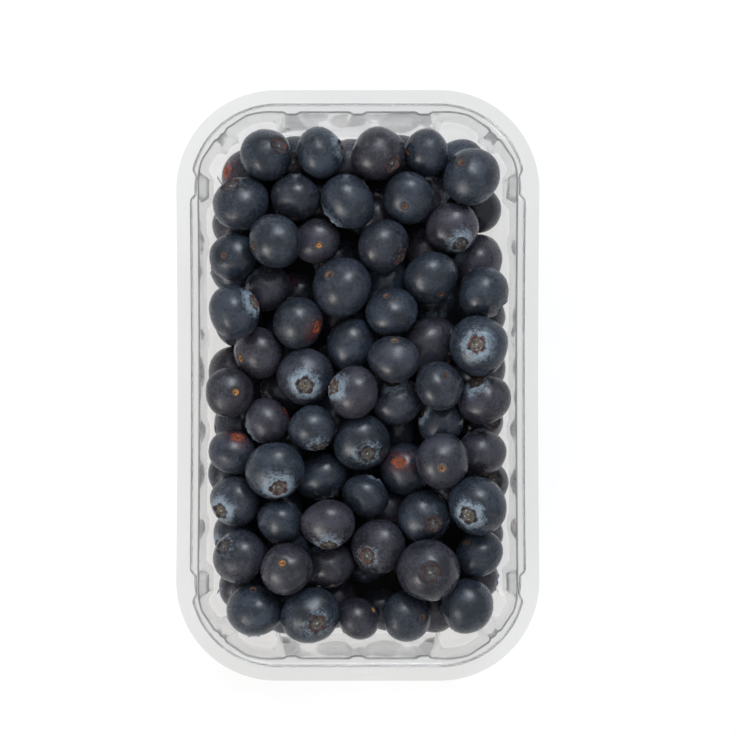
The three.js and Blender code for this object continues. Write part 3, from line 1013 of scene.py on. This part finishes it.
def turned(turn, out, up):
    """A point at an angle round an upright axis."""
    return (out * math.cos(turn), out * math.sin(turn), up)


def skin_distance(colatitude):
    """Distance of the skin from the berry's middle."""
    out = math.sin(colatitude)
    if colatitude > math.pi / 2:
        return 1 - SCAR_DIP * bell(out, SCAR_DIP_WIDTH)
    dip = SKIN_DIP * ease((SKIN_DIP_EDGE - out) / SKIN_DIP_SLOPE)
    return 1 - dip + COLLAR_SWELL * bell(out - COLLAR_AT, COLLAR_WIDTH)


def skin_template():
    rings = []
    for degrees in SKIN_ANGLES:
        colatitude = math.radians(degrees)
        far = skin_distance(colatitude)
        out = far * math.sin(colatitude)
        up = far * math.cos(colatitude)
        rings.append([turned(turn, out, up) for turn in turns_round(SKIN_COLUMNS)])
    poles = (0, 0, skin_distance(0)), (0, 0, -skin_distance(math.pi))
    return template("skin_template", rings, *poles)


def crown_distance(out, lobe):
    """Distance of the crown's surface from the berry's middle."""
    crest_at = CROWN_CREST_AT + CROWN_LOBE_REACH * lobe
    crest = CROWN_CREST + CROWN_LOBE_RISE * lobe
    nub = CROWN_NUB * bell(out, CROWN_NUB_WIDTH)
    if out < crest_at:
        return mix(CROWN_FLOOR + nub, crest, ease((out - crest_at + CROWN_SLOPE) / CROWN_SLOPE))
    return mix(crest, CROWN_EDGE, ease((out - crest_at) / (CROWN_EDGE_AT - crest_at)))


def crown_template():
    rings = []
    knots = []
    for out in CROWN_RINGS:
        up = math.sqrt(1 - out * out)
        tip = bell(out - CROWN_CREST_AT - CROWN_LOBE_REACH, CROWN_KNOT_WIDTH)
        ring = []
        for turn in turns_round(CROWN_COLUMNS):
            lobe = (0.5 + 0.5 * math.cos(CROWN_LOBES * turn)) ** CROWN_LOBE_POWER
            far = crown_distance(out, lobe)
            ring.append(turned(turn, far * out, far * up))
            knots.append(lobe * tip)
        rings.append(ring)
    made = template("crown_template", rings, (0, 0, CROWN_FLOOR + CROWN_NUB))
    set_attribute(made.data, "knot", [*knots, 0], "FLOAT")
    return made


def scar_template():
    rings = []
    for out, far in SCAR_PROFILE:
        up = math.sqrt(1 - out * out)
        rings.append([turned(turn, far * out, -far * up) for turn in turns_round(SCAR_COLUMNS, -1)])
    return template("scar_template", rings, (0, 0, -SCAR_FLOOR))


# The berries set out by Geometry Nodes


def berry_points(settings, tray):
    """A mesh with a point at the middle of each berry, which carries how the berry lies."""
    radii = mm(settings.smallest), mm(settings.largest)
    berries = settled_berries(tray_shape(tray), settings.count, *radii, settings.seed)
    draw = make_draw(settings.seed + 1)
    turns, sizes, moods = [], [], []
    for berry in berries:
        twist = 2 * math.pi * draw()
        oval = BERRY_OVAL * (2 * draw() - 1)
        turns.append(berry.axis.to_track_quat("Z", "Y") @ Quaternion((0, 0, 1), twist))
        across = berry.radius * BERRY_WAIST
        sizes.append((across * (1 + oval), across * (1 - oval), berry.radius * berry.pole))
        moods.append((draw(), draw(), draw()))
    places = [berry.place for berry in berries]
    made = new_object("berry_points", [tuple(place) for place in places], [])
    set_attribute(made.data, "middle", places)
    set_attribute(made.data, "size", sizes)
    set_attribute(made.data, "mood", moods)
    set_attribute(made.data, "turn", turns, "QUATERNION")
    return made


def berry_tree():
    """Sets a shape out on the berries' points and makes it uneven."""
    group = bpy.data.node_groups.new("berries_on_points", "GeometryNodeTree")
    given = {"Points": "Geometry", "Shape": "Object", "Finish": "Material"}
    given |= dict.fromkeys(("Unevenness", "Hollow Scale", "Raggedness", "Rag Scale"), "Float")
    for name, kind in given.items():
        group.interface.new_socket(name=name, in_out="INPUT", socket_type="NodeSocket" + kind)
    group.interface.new_socket(name="Berries", in_out="OUTPUT", socket_type="NodeSocketGeometry")
    tree = Tree(group)
    outputs = tree.node("NodeGroupInput").output.node.outputs
    value = {output.name: Socket(tree, output) for output in outputs if output.name}

    def named(name, kind):
        return tree.node("GeometryNodeInputNamedAttribute", {"data_type": kind}, {"Name": name})

    shape = tree.node("GeometryNodeObjectInfo", {}, {"Object": value["Shape"]}, "Geometry")
    inputs = {
        "Points": value["Points"],
        "Instance": shape,
        "Rotation": named("turn", "QUATERNION"),
        "Scale": named("size", "FLOAT_VECTOR"),
    }
    berries = tree.node("GeometryNodeInstanceOnPoints", {}, inputs)
    berries = tree.node("GeometryNodeRealizeInstances", {}, {"Geometry": berries})
    place = tree.node("GeometryNodeInputPosition")
    inwards = tree.vector("SUBTRACT", named("middle", "FLOAT_VECTOR"), place)
    hollow = tree.stretch(tree.noise(place, value["Hollow Scale"], 1), *HOLLOW_RISE)
    dent = tree.vector("MULTIPLY", inwards, hollow * value["Unevenness"])
    rag = tree.noise(place, value["Rag Scale"], output="Color")
    rag = tree.vector("SUBTRACT", rag, (0.5, 0.5, 0.5))
    offset = tree.vector("ADD", dent, tree.vector("MULTIPLY", rag, value["Raggedness"]))
    berries = tree.node("GeometryNodeSetPosition", {}, {"Geometry": berries, "Offset": offset})
    inputs = {"Geometry": berries, "Material": value["Finish"]}
    tree.node("NodeGroupOutput", {}, {0: tree.node("GeometryNodeSetMaterial", {}, inputs)})
    return group


def bake_modifiers(made):
    """Gives an object the mesh that its modifiers make, and takes the modifiers off."""
    evaluated = made.evaluated_get(bpy.context.evaluated_depsgraph_get())
    mesh = bpy.data.meshes.new_from_object(evaluated)
    made.modifiers.clear()
    made.data = mesh


def set_out(name, shape, material, raggedness=0.0):
    """One piece with the shape at each berry's place."""
    scene = bpy.context.scene
    made = berry_points(scene.punnet_berries, scene.punnet_tray)
    made.name = name
    group = bpy.data.node_groups.get("berries_on_points") or berry_tree()
    modifier = made.modifiers.new("berries", "NODES")
    modifier.node_group = group
    values = {
        "Shape": shape,
        "Unevenness": scene.punnet_berries.unevenness,
        "Hollow Scale": HOLLOW_SCALE,
        "Raggedness": raggedness,
        "Rag Scale": RAG_SCALE,
        "Finish": material,
    }
    for item in group.interface.items_tree:
        if item.name in values:
            modifier[item.identifier] = values[item.name]
    bake_modifiers(made)
    bpy.data.objects.remove(shape)
    made.data.shade_smooth()
    for spare in ("turn", "size", "middle"):
        made.data.attributes.remove(made.data.attributes[spare])
    hand_over(made, "berries")


def build_core(tray):
    """A lumpy dark core, out of sight in the middle of the heap."""
    shape = tray_shape(tray)
    lump_x, lump_y = CORE_LUMP_LONG
    rings = []
    for row in range(CORE_RINGS):
        angle = math.pi * (row + 0.5) / CORE_RINGS
        reach = CORE_REACH - CORE_TAPER * (1 - math.sin(angle))
        height = mix(CORE_TOP, CORE_BOTTOM, 0.5 - 0.5 * math.cos(angle))
        ring = []
        for turn in turns_round(CORE_COLUMNS):
            across, along = math.cos(turn), math.sin(turn)
            x = clamp(across * CORE_FULLNESS, -1, 1) * shape.centre_x + reach * across
            y = clamp(along * CORE_FULLNESS, -1, 1) * shape.centre_y + reach * along
            lump = CORE_LUMP * math.sin(x / lump_x) * math.sin(y / lump_y)
            ring.append((x * MM, y * MM, (height + lump) * MM))
        rings.append(ring)
    poles = (0, 0, CORE_TOP * MM), (0, 0, CORE_BOTTOM * MM)
    made = new_object("heap_core", *ring_mesh(rings, *poles), heap_painted_shade())
    hand_over(made, "berries")


# Stage


def add_lamp(name, towards, tint, distance, width, power):
    """A square soft light that faces the heap from a direction."""
    lamp = bpy.data.lights.new(name, "AREA")
    lamp.size = width
    lamp.energy = power
    lamp.color = tint
    made = bpy.data.objects.new(name, lamp)
    direction = Vector(towards).normalized()
    made.location = direction * distance
    made.rotation_mode = "QUATERNION"
    made.rotation_quaternion = direction.to_track_quat("Z", "Y")
    bpy.context.scene.collection.objects.link(made)


def build_stage(settings, tray):
    scene = bpy.context.scene
    half = settings.floor_size / 2
    low = -TABLE_GAP
    corners = [(-half, -half, low), (half, -half, low), (half, half, low), (-half, half, low)]
    floor = new_object("floor", corners, [(0, 1, 2, 3)], pale_floor(settings.glow))

    world = bpy.data.worlds.new("surroundings")
    world.use_nodes = True
    sky = Tree(world.node_tree)
    _, _, height = sky.parts(sky.node("ShaderNodeTexCoord", {}, {}, "Generated"))
    shine = sky.blend(sky.stretch(height, *SKY_FADE), SKY_LOW, WHITE)
    inputs = {"Color": shine, "Strength": settings.sky}
    sky.node("ShaderNodeOutputWorld", {}, {"Surface": sky.node("ShaderNodeBackground", {}, inputs)})
    scene.world = world

    lights = ("cool", COOL_LIGHT, settings.cool_power), ("warm", WARM_LIGHT, settings.warm_power)
    for name, light, power in lights:
        for part, width, away in LIGHT_PARTS:
            add_lamp(f"{name}_{part}", *light, away, width, power / len(LIGHT_PARTS))

    camera = bpy.data.cameras.new("camera")
    camera.sensor_width = FILM_WIDTH
    camera.lens = FILM_WIDTH * settings.camera_height / settings.view_width
    camera.clip_start, camera.clip_end = VIEW_RANGE
    made = bpy.data.objects.new("camera", camera)
    made.location = (settings.camera_x, settings.camera_y, tray.height + settings.camera_height)
    scene.collection.objects.link(made)
    scene.camera = made
    scene.view_settings.view_transform = "Standard"


# Operators, panel and registration


class PUNNET_OT_tray(Operator):
    """Build the clear tray"""

    bl_idname = "punnet.tray"
    bl_label = "Clear Tray"

    def execute(self, context):
        build_tray(context.scene.punnet_tray)
        return {"FINISHED"}


class PUNNET_OT_skins(Operator):
    """Build the berries' skins"""

    bl_idname = "punnet.skins"
    bl_label = "Berry Skins"

    def execute(self, context):
        material = berry_skin(context.scene.punnet_berries)
        set_out("berry_skins", skin_template(), material)
        return {"FINISHED"}


class PUNNET_OT_crowns(Operator):
    """Build the dried crowns of the berries"""

    bl_idname = "punnet.crowns"
    bl_label = "Berry Crowns"

    def execute(self, context):
        settings = context.scene.punnet_berries
        material = berry_crown(settings)
        set_out("berry_crowns", crown_template(), material, settings.raggedness)
        return {"FINISHED"}


class PUNNET_OT_scars(Operator):
    """Build the stem scars of the berries"""

    bl_idname = "punnet.scars"
    bl_label = "Berry Scars"

    def execute(self, context):
        material = berry_scar(context.scene.punnet_berries)
        set_out("berry_scars", scar_template(), material)
        return {"FINISHED"}


class PUNNET_OT_core(Operator):
    """Build the dark core inside the heap"""

    bl_idname = "punnet.core"
    bl_label = "Heap Core"

    def execute(self, context):
        build_core(context.scene.punnet_tray)
        return {"FINISHED"}


class PUNNET_OT_stage(Operator):
    """Build the floor, the lights and the camera"""

    bl_idname = "punnet.stage"
    bl_label = "Stage"

    def execute(self, context):
        build_stage(context.scene.punnet_stage, context.scene.punnet_tray)
        return {"FINISHED"}


OPERATORS = (
    PUNNET_OT_tray,
    PUNNET_OT_skins,
    PUNNET_OT_crowns,
    PUNNET_OT_scars,
    PUNNET_OT_core,
    PUNNET_OT_stage,
)
SETTINGS = {
    "punnet_tray": TraySettings,
    "punnet_berries": BerrySettings,
    "punnet_stage": StageSettings,
}


class PUNNET_PT_build(Panel):
    """The punnet's operators and settings"""

    bl_label = "Punnet of Blueberries"
    bl_space_type = "VIEW_3D"
    bl_region_type = "UI"
    bl_category = "Punnet"

    def draw(self, context):
        for operator in OPERATORS:
            self.layout.operator(operator.bl_idname)
        for name in SETTINGS:
            box = self.layout.box()
            settings = getattr(context.scene, name)
            for field in settings.__annotations__:
                box.prop(settings, field)


CLASSES = (*SETTINGS.values(), *OPERATORS, PUNNET_PT_build)


def register():
    for made in CLASSES:
        bpy.utils.register_class(made)
    for name, kind in SETTINGS.items():
        setattr(bpy.types.Scene, name, PointerProperty(type=kind))


def unregister():
    for name in SETTINGS:
        delattr(bpy.types.Scene, name)
    for made in reversed(CLASSES):
        bpy.utils.unregister_class(made)


def main():
    register()
    bpy.ops.punnet.tray()
    bpy.ops.punnet.skins()
    bpy.ops.punnet.crowns()
    bpy.ops.punnet.scars()
    bpy.ops.punnet.core()
    bpy.ops.punnet.stage()


if __name__ == "__main__":
    main()
